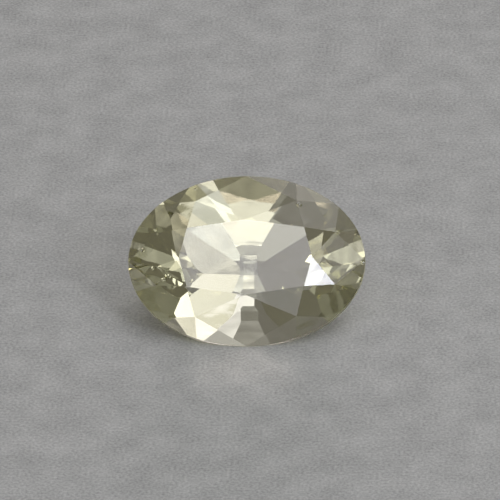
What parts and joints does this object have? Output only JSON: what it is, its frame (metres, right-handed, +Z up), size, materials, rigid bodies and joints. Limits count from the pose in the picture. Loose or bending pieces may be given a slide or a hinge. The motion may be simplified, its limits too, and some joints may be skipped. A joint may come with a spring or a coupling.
{
  "type": "faceted diaspore",
  "caption": "Loose oval brilliant-cut diaspore, a pale champagne-green gemstone, lying on one side of its pavilion with its table facing forwards.",
  "frame": {"origin": "the middle of the stone's box, on the surface that it rests on", "axes": "+X along the stone's length, +Z up; the table faces -Y and up"},
  "size_m": [0.0082, 0.0042, 0.0045],
  "materials": {
    "diaspore": "polished, clear, pale champagne green"
  },
  "bodies": {
    "root": {"faceted_diaspore": "diaspore"}
  },
  "joints": []
}
